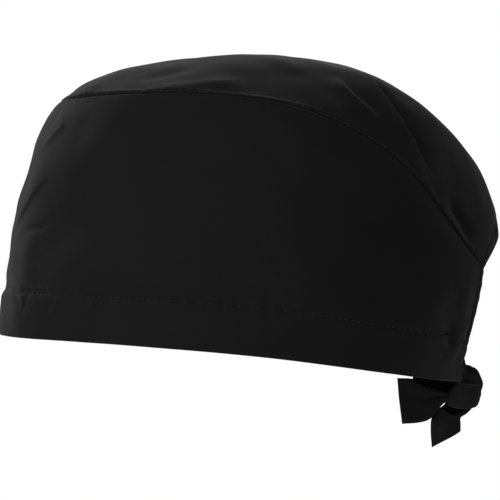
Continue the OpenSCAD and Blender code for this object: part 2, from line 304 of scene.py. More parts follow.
# Puckers that cross the hem's stitching.
HEM_PUCKERS = [
    ([(0.098, 0.19), (0.133, 0.135), (0.157, 0.085)], 1.5, 1.3, -0.42),
    ([(0.166, 0.19), (0.158, 0.133), (0.149, 0.08)], 1.3, 1.5, -0.36),
    ([(0.120, 0.21), (0.145, 0.15), (0.152, 0.11)], 1.8, 1.8, 0.4),
    ([(0.232, 0.165), (0.226, 0.122), (0.216, 0.09)], 2.2, 1.3, 0.5),
    ([(0.30, 0.17), (0.293, 0.128)], 2.2, 1.6, 0.4),
    ([(0.41, 0.19), (0.402, 0.14)], 2.4, 2.0, 0.35),
    ([(0.845, 0.34), (0.885, 0.265), (0.915, 0.21)], 3.0, 2.4, -0.9),
    ([(0.87, 0.40), (0.905, 0.31), (0.93, 0.24)], 2.4, 2.6, 0.7),
    ([(0.86, 0.14), (0.90, 0.17), (0.93, 0.20)], 2.6, 2.2, 0.5),
    ([(0.998, 0.0), (0.998, 0.10), (0.998, 0.22)], 6.0, 6.0, -0.8),
    ([(-0.998, 0.0), (-0.998, 0.10), (-0.998, 0.22)], 6.0, 6.0, -0.8),
    ([(-0.10, 0.20), (-0.12, 0.14), (-0.14, 0.09)], 1.8, 1.5, -0.7),
    ([(-0.24, 0.18), (-0.25, 0.13), (-0.27, 0.09)], 2.0, 1.5, 0.8),
    ([(-0.85, 0.35), (-0.89, 0.27), (-0.92, 0.21)], 3.0, 2.4, -0.9),
    ([(-0.87, 0.42), (-0.91, 0.32), (-0.93, 0.25)], 2.6, 2.4, 0.7),
]
# Folds of the crown: route of (v, u), width on each side, height.
CROWN_FOLDS = [
    ([(0.55, 0.56), (0.558, 0.69), (0.567, 0.76), (0.581, 0.825), (0.599, 0.87), (0.615, 0.90)],
     2.1, 5.0, 1.6),
    ([(0.60, 0.20), (0.609, 0.40), (0.619, 0.61), (0.633, 0.715), (0.645, 0.78), (0.663, 0.84),
      (0.687, 0.885), (0.742, 0.93)], 1.2, 12.0, 3.2),
    ([(0.61, 0.14), (0.623, 0.42), (0.641, 0.64), (0.663, 0.76), (0.696, 0.855), (0.74, 0.905)],
     14.0, 1.3, -2.2),
    ([(0.77, 0.925), (0.81, 0.922), (0.85, 0.930), (0.90, 0.94)], 4.0, 3.0, -1.6),
    ([(0.80, 0.62), (0.87, 0.66), (0.94, 0.72)], 7.0, 7.0, 0.3),
    ([(0.24, 0.97), (0.31, 0.93), (0.37, 0.87), (0.42, 0.77)], 4.0, 4.5, 0.75),
    ([(0.13, 0.90), (0.17, 0.78), (0.20, 0.64)], 4.0, 5.0, 0.7),
    ([(0.24, 0.80), (0.30, 0.68), (0.37, 0.58)], 5.0, 5.0, -0.8),
    ([(0.46, 0.30), (0.49, 0.52), (0.50, 0.70)], 6.0, 6.0, 0.6),
    ([(0.55, -0.45), (0.58, -0.66), (0.62, -0.86)], 5.0, 1.8, 1.2),
    ([(0.60, -0.10), (0.67, -0.56), (0.75, -0.90)], 8.0, 1.5, 1.8),
    ([(0.63, -0.20), (0.69, -0.60), (0.77, -0.86)], 1.5, 9.0, -1.2),
    ([(0.78, -0.92), (0.82, -0.92), (0.88, -0.94)], 4.0, 4.0, -1.4),
    ([(0.20, -0.90), (0.29, -0.84), (0.38, -0.70)], 4.5, 3.5, 0.9),
]

STITCH = 2.9  # pitch of the topstitching
CROWN_INSET = 0.8  # distance of the crown's edge stitching from the seam
NAPE_EDGE = 6.0  # distance, in the units of S_RUN, of the nape stitching from the arch's rim


def seam_ends(s):
    """0 at the two ends of the seam, where the panels are even, and 1 between them."""
    return np.clip((1 - np.abs(s)) * 6 - 0.15, 0, 1)


def shaped_to_seam(p, normals, relief, from_seam, along):
    """Points lifted by their relief, with both panels' edges drawn to one line at the seam."""
    share = bump(from_seam, 0.45)[..., None]
    s = np.interp(along, seam_lengths, dense)
    inward = np.stack([np.interp(s, dense, seam_normals[:, k]) for k in range(3)], -1)
    edge = inward * (0.1 + 1.15 * seam_ends(s))[..., None]
    return p + normals * relief[..., None] * (1 - share) - edge * share


def stitch_hold(along, swing=0.35):
    """How far the cloth is drawn down by a row of stitches, which varies with each stitch."""
    return 1 - swing + swing * np.cos(2 * np.pi * along / STITCH)


def seam_relief(from_seam, along, inset, ends):
    """The crown's rolled edge laps over the side panel, which dips under it. inset is the
    distance of the crown's stitching from the seam, or 0 for the side panel, and ends is 0
    at the two ends of the seam, where the panels are even."""
    pull = np.clip(0.5 + 0.5 * waves(along, 48, 6), 0, 1.6)
    relief = 0.11 * pull * waves(along, 6.5, 5) * bump(from_seam - 1.2, 2.4)
    if inset:
        relief += 0.26 * bump(from_seam - 1.0, 1.5)
        relief -= (0.1 + 0.75 * ends) * bump(from_seam, 0.24)
        relief -= 0.13 * stitch_hold(along) * bump(from_seam - inset, 0.36)
    else:
        relief -= (0.1 + 0.5 * ends) * bump(from_seam, 0.6)
    return relief


def edge_relief(from_rim, along, inset, seed):
    """Folded edge: rounded over at its rim, a little full, and dimpled by its stitching."""
    relief = -0.55 * bump(from_rim, 0.5)
    relief -= 0.22 * bump(from_rim - inset, 0.5) * stitch_hold(along)
    relief += 0.14 * bump(from_rim - inset / 2, inset / 3)
    relief += 0.16 * waves(along, 9, seed) * bump(from_rim - inset, 3.5)
    return relief


def wall_relief(s, t, p, normals, from_seam, seam_along):
    """Height of the side panel's relief at each point of its grid."""
    along = s * S_RUN
    arc = np.linalg.norm(np.diff(p, axis=1), axis=-1)
    above = np.concatenate([np.zeros_like(arc[:, :1]), np.cumsum(arc, 1)], 1)
    line = above - np.take_along_axis(above, np.abs(t - line_t(s)).argmin(1)[:, None], 1)
    relief = seam_relief(from_seam, seam_along, 0, seam_ends(s))
    relief -= 0.34 * stitch_hold(along, 0.3) * bump(line, 0.6)
    relief += 0.30 / (1 + np.exp(np.clip(line / 0.5, -30, 30)))
    relief += 0.16 * bump(np.abs(line) - 2.4, 1.5)
    pull = np.clip(0.45 + 0.5 * waves(along, 60, 7), 0, 1.5)
    relief += 0.15 * pull * waves(along + 0.4 * line, 8.5, 3) * bump(line, 4.0)
    relief += 0.17 * waves(along + 0.5 * line, 31, 4) * bump(line, 11.0)
    rim = (1 - np.abs(s)) * S_RUN
    relief += edge_relief(rim, above, NAPE_EDGE, 9) * (line > 0)
    relief -= 0.3 * bump(rim, 0.6) * (line <= 0)
    fade = 1 - bump(from_seam, 2.0)
    relief += fade * folds(p, normals, wall, WALL_FOLDS)
    relief += folds(p, normals, wall, HEM_PUCKERS, 0.45)
    free = fade * np.clip(rim / 12, 0, 1)
    relief += 0.42 * unevenness(p, 62, 21) * free
    relief += 0.13 * unevenness(p, 21, 22) * free
    return relief


def crown_relief(v, p, normals, from_seam, seam_along):
    """Height of the crown's relief at each point of its grid."""
    relief = seam_relief(from_seam, seam_along, CROWN_INSET, seam_ends(v))
    rim, rim_along = distances(p, arch_route)
    relief += edge_relief(rim, rim_along, NAPE_EDGE, 10)
    fade = (1 - bump(from_seam, 1.4)) * (1 - bump(rim, 1.4))
    relief += fade * folds(p, normals, crown, CROWN_FOLDS)
    relief += 0.40 * unevenness(p, 55, 31) * fade
    relief += 0.14 * unevenness(p, 19, 32) * fade
    return relief


# ---------- meshes ----------


def grid_faces(rows, columns, wrap=False):
    """Quads of a grid of rows by columns of points; wrap joins its last column to its first."""
    i, j = np.meshgrid(np.arange(rows - 1), np.arange(columns - (0 if wrap else 1)),
                       indexing="ij")
    k = (j + 1) % columns
    quads = [i * columns + j, (i + 1) * columns + j, (i + 1) * columns + k, i * columns + k]
    return np.stack(quads, -1).reshape(-1, 4)


def make_mesh(name, points, faces, material, uv=None):
    """Object from points in millimetres. uv holds one pair, in millimetres, per point."""
    mesh = bpy.data.meshes.new(name)
    mesh.from_pydata((np.asarray(points).reshape(-1, 3) * MM).tolist(), [], faces)
    mesh.materials.append(material)
    if uv is not None:
        layer = mesh.uv_layers.new(name="cloth")
        index = np.empty(len(mesh.loops), int)
        mesh.loops.foreach_get("vertex_index", index)
        layer.data.foreach_set("uv", np.asarray(uv).reshape(-1, 2)[index].ravel() / CLOTH_UNIT)
    mesh.shade_smooth()
    mesh.update()
    obj = bpy.data.objects.new(name, mesh)
    bpy.context.scene.collection.objects.link(obj)
    return obj


def arc_uv(p):
    """Lengths along and across a grid of points, from its middle row and middle column."""
    rows, columns = p.shape[:2]
    along, across = run_lengths(p[:, columns // 2]), run_lengths(p[rows // 2])
    return np.stack(np.meshgrid(along, across, indexing="ij"), -1)


def fix(piece, body="cap"):
    """The piece moves with a body."""
    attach(piece, body)


def weld(piece):
    """Joins the points that lie on each other, where a grid runs to one point."""
    modifier = piece.modifiers.new("weld", "WELD")
    modifier.merge_threshold = 1e-6


def cloth_sheet(name, p, material, thickness=CLOTH, pole=False):
    """Single layer of cloth: a grid of points on its right side, made solid inwards."""
    faces = grid_faces(*p.shape[:2]).tolist()
    obj = make_mesh(name, p, faces, material, arc_uv(p))
    if pole:
        weld(obj)
    solid = obj.modifiers.new("cloth", "SOLIDIFY")
    solid.thickness = thickness * MM
    solid.offset = -1
    return obj


def strip_surface(low, high, f, g, relief=None, closed=False):
    """Middle surface of a strip between two edges, and its normals. f runs along it from
    0 to 1, g across it from -1 to 1, and relief(f, g) lifts it along the normals."""
    curve = closed_curve if closed else spline
    share = ((g + 1) / 2)[None, :, None]
    middle = curve(low, f)[:, None] * (1 - share) + curve(high, f)[:, None] * share
    normals = grid_normals(middle, closed)
    if relief:
        middle = middle + normals * relief(f[:, None], g[None, :])[..., None]
        normals = grid_normals(middle, closed)
    return middle, normals


def strip_between(name, low, high, material, thickness=1.2, steps=(90, 30), relief=None,
                  closed=False, taper=(0.3, 0.3)):
    """Folded strip of cloth with rounded edges, whose ends are as thick as taper says."""
    along, wide = steps
    f = np.linspace(0, 1, along + 1)[: along if closed else None]
    g = np.sin(np.linspace(-np.pi / 2, np.pi / 2, wide))
    middle, normals = strip_surface(low, high, f, g, relief, closed)
    half = thickness / 2 * (1 - np.abs(g) ** 9) ** 0.5
    ends = np.ones_like(f)
    if not closed:
        ends = np.minimum(1, taper[0] + f / 0.02) * np.minimum(1, taper[1] + (1 - f) / 0.02)
    half = (half[None] * ends[:, None])[..., None]
    top, bottom = middle + normals * half, middle - normals * half
    loop = np.concatenate([top, bottom[:, -2:0:-1]], 1)
    rows, columns = loop.shape[:2]
    faces = grid_faces(rows, columns, wrap=True).tolist()
    if closed:
        last = (rows - 1) * columns
        faces += [[last + j, j, (j + 1) % columns, last + (j + 1) % columns]
                  for j in range(columns)]
    else:
        for start, flip in ((0, True), ((rows - 1) * columns, False)):
            for j in range(wide - 1):
                far, next_far = (columns - j) % columns, columns - j - 1
                quad = [start + k for k in (j, j + 1, next_far, far)]
                quad = [k for i, k in enumerate(quad) if k not in quad[:i]]
                faces.append(quad[::-1] if flip else quad)
    return make_mesh(name, loop, faces, material, arc_uv(loop))


def closed_curve(points, f):
    """Curve round a closed ring of points, for f from 0 to 1."""
    n = len(points)
    u = f * n
    i = np.floor(u).astype(int) % n
    return catmull_rom(*(points[(i + k) % n] for k in (-1, 0, 1, 2)), (u - np.floor(u))[:, None])


def grid_normals(p, closed=False):
    """Normals of a grid of points; closed joins its last row to its first."""
    if closed:
        da = np.roll(p, -1, 0) - np.roll(p, 1, 0)
    else:
        da = np.gradient(p, axis=0)
    return unit(np.cross(da, np.gradient(p, axis=1)))


def stitches(name, route, normals, material, pitch=STITCH, fill=0.78, width=0.42, lift=0.06):
    """Row of lockstitches along a route: short rounded lengths of thread that dive into
    the cloth at both ends."""
    lengths = run_lengths(route)
    count = max(int(lengths[-1] / pitch), 1)
    centres = (np.arange(count) + 0.5) * lengths[-1] / count
    rings = np.linspace(-1, 1, 7)
    at = centres[:, None] + rings[None] * pitch * fill / 2
    at = np.clip(at, 0, lengths[-1])
    spine = np.stack([np.interp(at, lengths, route[:, k]) for k in range(3)], -1)
    out = unit(np.stack([np.interp(at, lengths, normals[:, k]) for k in range(3)], -1))
    along = unit(spine[:, -1:] - spine[:, :1])
    across = unit(np.cross(along, out))
    spine = spine + out * (lift + width * 0.35 - width * 0.9 * np.abs(rings) ** 3)[None, :, None]
    radius = width / 2 * np.sqrt(1 - 0.85 * rings**4)
    turn = np.linspace(0, 2 * np.pi, 8)[:-1]
    ring = (np.cos(turn)[:, None] * across[:, :, None]
            + np.sin(turn)[:, None] * 0.8 * out[:, :, None])
    points = spine[:, :, None] + ring * radius[None, :, None, None]
    sides = len(turn)
    tube = grid_faces(len(rings), sides, wrap=True)
    caps = [list(range(sides)), list(range((len(rings) - 1) * sides, len(rings) * sides))[::-1]]
    each = len(rings) * sides
    faces = []
    for k in range(count):
        faces += (tube + k * each).tolist()
        faces += [[i + k * each for i in cap] for cap in caps]
    return make_mesh(name, points, faces, material)


def thread_along(name, route, material, width=0.3):
    """Continuous thread, as a curve of one spline through a route of points."""
    curve = bpy.data.curves.new(name, "CURVE")
    curve.dimensions = "3D"
    curve.bevel_depth = width / 2 * MM
    curve.bevel_resolution = 2
    line = curve.splines.new("POLY")
    line.points.add(len(route) - 1)
    flat = np.column_stack([np.asarray(route) * MM, np.ones(len(route))])
    line.points.foreach_set("co", flat.ravel())
    curve.materials.append(material)
    obj = bpy.data.objects.new(name, curve)
    bpy.context.scene.collection.objects.link(obj)
    return obj


# ---------- materials ----------


def principled(name, color, roughness, sheen=0.0, specular=0.3):
    material = bpy.data.materials.new(name)
    material.use_nodes = True
    shader = material.node_tree.nodes["Principled BSDF"]
    values = {"Base Color": (*color, 1), "Roughness": roughness, "Specular IOR Level": specular,
              "Sheen Weight": sheen, "Sheen Roughness": 0.45}
    for key, value in values.items():
        shader.inputs[key].default_value = value
    return material, shader


def add(nodes, kind, **values):
    node = nodes.new(kind)
    for key, value in values.items():
        if key in node.inputs:
            node.inputs[key].default_value = value
        else:
            setattr(node, key, value)
    return node


def raise_surface(material, shader, height, **size):
    """Bump on the shader, from a node's output."""
    nodes, links = material.node_tree.nodes, material.node_tree.links
    relief = add(nodes, "ShaderNodeBump", **size)
    links.new(height, relief.inputs["Height"])
    links.new(relief.outputs["Normal"], shader.inputs["Normal"])


def twill_material(name, dark, light, sheen, specular=0.3):
    """Piece-dyed twill: fine diagonal ribs, uneven yarns, slight mottle and faint wear."""
    material, shader = principled(name, dark, 0.82, sheen, specular)
    nodes, links = material.node_tree.nodes, material.node_tree.links
    uv = add(nodes, "ShaderNodeUVMap", uv_map="cloth")
    place = add(nodes, "ShaderNodeTexCoord")
    ribs = add(nodes, "ShaderNodeTexWave", wave_type="BANDS", bands_direction="DIAGONAL",
               Scale=4.6, Distortion=1.1, Detail=2.0)
    ribs.inputs["Detail Scale"].default_value = 3.0
    yarns = add(nodes, "ShaderNodeTexNoise", Scale=14.0, Detail=5.0, Roughness=0.7)
    mottle = add(nodes, "ShaderNodeTexNoise", Scale=55.0, Detail=6.0, Roughness=0.65)
    links.new(uv.outputs["UV"], ribs.inputs["Vector"])
    links.new(uv.outputs["UV"], yarns.inputs["Vector"])
    links.new(place.outputs["Object"], mottle.inputs["Vector"])
    ramp = add(nodes, "ShaderNodeValToRGB")
    ramp.color_ramp.elements[0].position = 0.3
    ramp.color_ramp.elements[1].position = 0.75
    ramp.color_ramp.elements[0].color = (*dark, 1)
    ramp.color_ramp.elements[1].color = (*light, 1)
    links.new(mottle.outputs["Fac"], ramp.inputs["Fac"])
    links.new(ramp.outputs["Color"], shader.inputs["Base Color"])
    height = add(nodes, "ShaderNodeMath", operation="MULTIPLY_ADD")
    height.inputs[1].default_value = 0.6
    links.new(yarns.outputs["Fac"], height.inputs[0])
    links.new(ribs.outputs["Fac"], height.inputs[2])
    raise_surface(material, shader, height.outputs[0], Strength=0.22, Distance=0.00012)
    return material


def thread_material(name, color):
    """Spun polyester thread with a fine twist."""
    material, shader = principled(name, color, 0.55, 0.2, 0.4)
    nodes, links = material.node_tree.nodes, material.node_tree.links
    place = add(nodes, "ShaderNodeTexCoord")
    twist = add(nodes, "ShaderNodeTexWave", bands_direction="DIAGONAL", Scale=900.0,
                Distortion=2.0)
    links.new(place.outputs["Object"], twist.inputs["Vector"])
    raise_surface(material, shader, twist.outputs["Fac"], Strength=0.3, Distance=0.00006)
    return material


def satin_material(name, color):
    """Blank satin ribbon: a fine straight weave with soft gloss."""
    material, shader = principled(name, color, 0.38, 0.3, 0.5)
    nodes, links = material.node_tree.nodes, material.node_tree.links
    uv = add(nodes, "ShaderNodeUVMap", uv_map="cloth")
    weave = add(nodes, "ShaderNodeTexWave", bands_direction="Y", Scale=8.0, Distortion=0.6)
    links.new(uv.outputs["UV"], weave.inputs["Vector"])
    raise_surface(material, shader, weave.outputs["Fac"], Strength=0.2, Distance=0.00008)
    return material


cloth = twill_material("black_twill", (0.0098, 0.0098, 0.0107), (0.0140, 0.0140, 0.0151), 0.14)
# Twill of the inside pieces, painted lighter than the cap's cloth: painted light for the dim inside
# of the cap.
inside_cloth_painted_light = twill_material("twill_inside_painted_lighter", (0.018, 0.018, 0.019), (0.026, 0.026, 0.0275), 0.10)
# Twill of the ties, painted lighter than the cap's cloth: painted light where the cap shades the
# knot and tails.
tie_cloth_painted_light = twill_material("tie_twill", (0.0155, 0.0155, 0.0166), (0.0212, 0.0212, 0.0226), 0.14)
# Twill of the knot's band and bight, painted lighter still: painted light on the knot's lit face.
knot_cloth_painted_light = twill_material("tie_twill_painted_lighter_knot", (0.0235, 0.0235, 0.025),
                            (0.032, 0.032, 0.034), 0.16)
# Near-black twill with almost no gloss: painted shadow in the deep folds by the tails.
fold_shade = twill_material("tie_twill_painted_fold_shadow", (0.0012, 0.0012, 0.0014),
                            (0.0020, 0.0020, 0.0022), 0.0, 0.05)
# Lighter twill for the rims of the knot's band: a painted highlight.
rim_cloth_painted_highlight = twill_material("tie_twill_painted_rim_highlight", (0.045, 0.045, 0.047),
                           (0.065, 0.065, 0.068), 0.25)
thread = thread_material("black_thread", (0.013, 0.013, 0.014))
# Black thread with its base colour painted lighter: a painted glint on the hem's end tacks.
tack_thread_painted_glint = thread_material("black_thread_painted_glint", (0.085, 0.085, 0.088))
satin = satin_material("blank_label", (0.70, 0.70, 0.68))

# ---------- panels ----------

dense = np.linspace(-1, 1, 2400)
seam_route = seam(dense)
seam_lengths = run_lengths(seam_route)
seam_normals = unit(wall_normal(dense, 1.0) + crown_normal(np.abs(dense), np.sign(dense)))
arch_route = crown(1.0, np.linspace(-1, 1, 500))


def line_t(s):
    """The t of the hem's stitching at each row of s."""
    return height_to_t(s[:, 0], hem_top(s[:, 0])[:, None])


def surface_tree(p):
    """Search tree of a grid of points, for rays that look for its surface."""
    return BVHTree.FromPolygons(p.reshape(-1, 3).tolist(), grid_faces(*p.shape[:2]).tolist())


def side_panel():
    """One cloth from the crown seam down the outside, round the hem's fold and up inside."""
    s = np.linspace(-1, 1, 881)
    scale = (hem_top(s) / HEM_HEIGHT)[:, None]
    fold_radius = 0.8 + 0.75 * np.clip((np.abs(s) - 0.86) / 0.06, 0, 1)[:, None]
    # Rows of the hem by their height, closest together at its stitching.
    low = np.concatenate([np.arange(2.2, 16, 1.0), np.arange(16, 23, 0.35),
                          np.arange(23, 30, 0.9)])
    low_t = height_to_t(s, np.hstack([fold_radius, low * scale]))
    # Rows of the rest by their share of the way up, closer together by the seam.
    rest = 80.2
    high = np.concatenate([np.arange(0, 72, 1.0), np.arange(72, rest, 0.4)])[1:] / rest
    high = np.append(high, 1.0)
    high_t = low_t[:, -1:] + (1 - low_t[:, -1:]) * high
    t = np.hstack([low_t, high_t])
    grid_s = np.repeat(s[:, None], t.shape[1], 1)
    p = wall(grid_s, t)
    normals = wall_normal(grid_s, t)
    from_seam, along = distances(p, seam_route)
    relief = wall_relief(grid_s, t, p, normals, from_seam, along)
    outer = shaped_to_seam(p, normals, relief, from_seam, along)

    turn = np.linspace(0, np.pi, 9)[1:-1]
    base, out = outer[:, :1], normals[:, :1]
    r = fold_radius[..., None]
    bend = (base - out * r * (1 - np.cos(turn))[None, :, None]
            - UP * r * np.sin(turn)[None, :, None])
    inside = low[low < HEM_HEIGHT + 1]
    inner_t = height_to_t(s, np.hstack([fold_radius, inside * scale]))
    inner = in_wall(s[:, None], inner_t, 2 * fold_radius)
    whole = np.concatenate([inner[:, ::-1], bend[:, ::-1], outer], 1)
    return cloth_sheet("side_panel_cloth", whole, cloth), surface_tree(outer)


def crown_panel():
    """One cloth from the point at the forehead back to the nape arch."""
    v = np.linspace(0, 1, 430) ** 1.3
    q = np.linspace(0, 1, 121)
    half = 1 - (1 - q) ** 1.5
    u = np.concatenate([half[::-1], -half[1:]])
    grid_v, grid_u = np.meshgrid(v, u, indexing="ij")
    p = crown(grid_v, grid_u)
    normals = crown_normal(grid_v, grid_u)
    normals[0] = unit(normals[1].mean(0) + wall_normal(0.0, 1.0))
    from_seam, along = distances(p, seam_route)
    relief = crown_relief(grid_v, p, normals, from_seam, along)
    shaped = shaped_to_seam(p, normals, relief, from_seam, along)
    shaped[0] = shaped[0].mean(0)
    return cloth_sheet("crown_panel_cloth", shaped, cloth, pole=True), surface_tree(shaped)


side, side_tree = side_panel()
top, top_tree = crown_panel()
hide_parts("side_panel", "hem_facing")
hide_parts("crown_panel")
fix(side)
fix(top)

# ---------- turned edges and allowances inside ----------

EDGE_DEPTH = 0.75  # depth of a turned edge under the right side of the panel
EDGE_ROWS = np.linspace(0.15, NAPE_EDGE + 1.5, 16)  # its rows, by distance from the rim


def inner_strip(name, p, node):
    # The inside pieces take the lighter twill, painted light in place of light that reaches the
    # inside.
    piece = cloth_sheet(name, p, inside_cloth_painted_light, 0.6)
    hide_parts(node)
    fix(piece)
    return piece


def nape_edge(side_sign, name, node):
    """Rim of the side panel, turned in and stitched down beside the arch."""
    t = np.linspace(t_at_nape(HEM_HEIGHT + 1.0), 0.985, 70)
    s = side_sign * (1 - EDGE_ROWS / S_RUN)
    grid_s, grid_t = np.meshgrid(s, t, indexing="ij")
    p = in_wall(grid_s, grid_t, EDGE_DEPTH)
    p += wall_normal(grid_s, grid_t) * (0.12 * waves(grid_t * 80, 9, 14))[..., None]
    return inner_strip(name, p if side_sign > 0 else p[::-1], node)


def crown_edge():
    """Rim of the crown, turned in across the top of the arch."""
    v = 1 - EDGE_ROWS / crown_run()
    u = np.linspace(0.9, -0.9, 110)
    grid_v, grid_u = np.meshgrid(v[::-1], u, indexing="ij")
    p = in_crown(grid_v, grid_u, EDGE_DEPTH)
    return inner_strip("crown_edge_turning", p, "crown_nape_edge")


def seam_allowance():
    """Both raw edges of the crown seam, overlocked together and pressed down."""
    s = np.linspace(-0.99, 0.99, 560)
    drops = np.append(0.25, np.linspace(0.9, 9.0, 12))
    rise = seam(s)[:, 2] - hem(s)[:, 2]
    t = height_to_t(s, rise[:, None] - drops[None, ::-1])
    wave = 0.5 + 0.35 * waves(s[:, None] * SEAM_RUN, 17, 41)
    lift = np.clip((drops[::-1] - 1) / 8, 0, 1)[None] * np.clip(wave, 0, None)
    p = in_wall(s[:, None], t, 0.95 + 0.5 * lift)
    piece = inner_strip("seam_allowance", p, "crown_seam_allowance")
    return piece, p


def overlock(p):
    """Overlock thread: a line that swings between the raw edge and a row further in."""
    pitch, depth = 2.4, 0.75
    edge, deep = p[:, 0], p[:, 6]
    turns = int(run_lengths(edge)[-1] / pitch)
    f = np.linspace(0, 1, turns * 8)
    swing = 0.5 - 0.5 * np.cos(2 * np.pi * turns * f)
    a, b = (np.stack([np.interp(f * (len(e) - 1), np.arange(len(e)), e[:, k])
                      for k in range(3)], -1) for e in (edge, deep))
    inward = -unit(a - np.array([0, 0, 60.0])) * depth
    return a + (b - a) * swing[:, None] + inward


nape_left = nape_edge(1, "nape_turning_left", "nape_edge_left")
nape_right = nape_edge(-1, "nape_turning_right", "nape_edge_right")
arch_turning = crown_edge()
allowance, allowance_points = seam_allowance()
overlocking = thread_along("seam_overlocking", overlock(allowance_points), thread, 0.26)
fix(overlocking)


def label():
    """Blank satin label, caught under the hem's turning and pressed flat."""
    s = np.linspace(0.74, 0.83, 24)
    heights = np.repeat(np.linspace(15, 45, 40)[None], len(s), 0)
    curl = 1.0 + 0.7 * np.clip((heights - 30) / 15, 0, 1) ** 2
    p = in_wall(s[:, None], height_to_t(s, heights), curl)
    piece = cloth_sheet("care_label_blank", p, satin, 0.25)
    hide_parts("care_label")
    fix(piece)


label()

# ---------- topstitching ----------


def on_cloth(route, normals, tree):
    """The route laid on the cloth's real surface, evened out over the stitches' dimples."""
    lifts = np.zeros(len(route))
    for i, (q, n) in enumerate(zip(route, normals)):
        hit = tree.ray_cast(q + n * 6, -n, 12)[0]
        if hit is not None:
            lifts[i] = (np.array(hit) - q) @ n
    even = np.convolve(np.pad(lifts, 3, mode="edge"), np.full(7, 1 / 7), "valid")
    return route + normals * even[:, None]


def sewn(name, route, normals, tree, node=None, material=thread, **size):
    piece = stitches(name, on_cloth(route, normals, tree), normals, material, **size)
    if node:
        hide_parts(node)
    fix(piece)


def hem_stitching():
    s = np.linspace(-0.985, 0.985, 900)
    t = line_t(s[:, None])[:, 0]
    n = wall_normal(s, t)
    sewn("hem_stitches", wall(s, t), n, side_tree, "hem_stitching", width=0.36, lift=-0.01)


def crown_stitching():
    """Edge stitching, just inside the crown's edge all round."""
    v = np.linspace(0.03, 0.985, 500)
    routes = []
    for side_sign in (-1, 1):
        near = crown(v, side_sign * 0.9)
        edge = crown(v, side_sign * 1.0)
        run = np.linalg.norm(near - edge, axis=1)
        u = side_sign * (1 - 0.1 * CROWN_INSET / np.maximum(run, 1.2))
        routes.append((crown(v, u), crown_normal(v, u)))
    left, right = routes
    route = np.concatenate([left[0][::-1], right[0]])
    normals = np.concatenate([left[1][::-1], right[1]])
    sewn("crown_edge_stitches", route, normals, top_tree, "crown_stitching", width=0.34)


def nape_stitching():
    t = np.linspace(t_at_nape(HEM_HEIGHT - 1.0), 0.96, 120)
    for side_sign, word in ((1, "left"), (-1, "right")):
        s = side_sign * (1 - NAPE_EDGE / S_RUN) + 0 * t
        n = wall_normal(s, t)
        sewn(f"nape_edge_stitches_{word}", wall(s, t), n, side_tree)
    u = np.linspace(-0.9, 0.9, 240)
    v = 1 - NAPE_EDGE / crown_run() + 0 * u
    n = crown_normal(v, u)
    sewn("arch_edge_stitches", crown(v, u), n, top_tree, "nape_edge_stitching")


def end_tacks():
    """Two short slanting rows at each end of the hem, which close its tunnel on the tie."""
    heights = np.linspace(1.2, hem_top(1.0) - 1.0, 60)
    starts = [(side_sign, inset) for side_sign in (1, -1) for inset in (7.0, 9.5)]
    for number, (side_sign, inset) in enumerate(starts, 1):
        s = side_sign * (1 - (inset + np.linspace(0, 6.5, 60)) / S_RUN)
        t = height_to_t(s, heights[:, None])[:, 0]
        node = "hem_end_tacks" if number == 1 else None
        sewn(f"hem_end_tack_{number}", wall(s, t), wall_normal(s, t), side_tree, node,
             tack_thread_painted_glint, pitch=2.3, width=0.62, lift=0.22)


hem_stitching()
crown_stitching()
nape_stitching()
end_tacks()

# ---------- ties and knot ----------

wrap_low, wrap_high = (np.array(c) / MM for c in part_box("knot_wrap"))
KNOT = (wrap_low + wrap_high) / 2


def at_knot(points):
    """Points given from the knot's middle."""
    return np.asarray(points, float) + KNOT


def tie_piece(piece, nodes, body):
    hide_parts(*nodes)
    if body:
        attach(piece, body)


def tie_pleats(f, g):
    """The strip gathers into pleats as it nears the knot."""
    return 0.9 * np.clip(f - 0.35, 0, 1) ** 1.2 * np.sin(2.6 * np.pi * g + 0.7)


def tie(sign, name, node):
    """Tie from the end of the hem to the knot; sign is 1 on the left and -1 on the right."""
    low = at_knot([(20, -6.6, 6.4), (16.5, -5.6, 6.0), (13.0, -4.6, 5.4), (9.2, -3.6, 4.6),
                   (5.2, -1.6, 2.6), (2.0, 0.4, 1.4)])
    high = at_knot([(20, -7.2, 20.2), (16.5, -6.0, 19.9), (13.6, -4.5, 18.4),
                    (11.4, -2.9, 15.0), (8.2, -1.2, 11.0), (3.0, 0.8, 7.4)])
    for edge in (low, high):
        edge[:, 0] *= sign
    ends = (low, high) if sign > 0 else (high, low)
    piece = strip_between(name, *ends, tie_cloth_painted_light, 1.0, (90, 36), tie_pleats)
    tie_piece(piece, [node], "cap")


TURN = np.linspace(0, 2 * np.pi, 17)[:-1]


def knot_ring(x_reach, y_middle, y_reach, z, sag=0.0, lean=0.0):
    """Ring round the knot, which sags on the near side and leans up at the rear."""
    return np.stack([x_reach * np.cos(TURN), y_middle + y_reach * np.sin(TURN),
                     z - sag * np.cos(TURN) + lean * np.sin(TURN)], -1)


def wrap_rim(name, ring):
    """Edge of the band, painted lighter than the rest: a painted highlight along its rim."""
    over = ring * [0.985, 0.985, 1] + [0, 0, 0.7]
    rim = strip_between(name, at_knot(ring), at_knot(over), rim_cloth_painted_highlight, 0.7, (180, 12),
                        closed=True)
    fix(rim)
    return rim


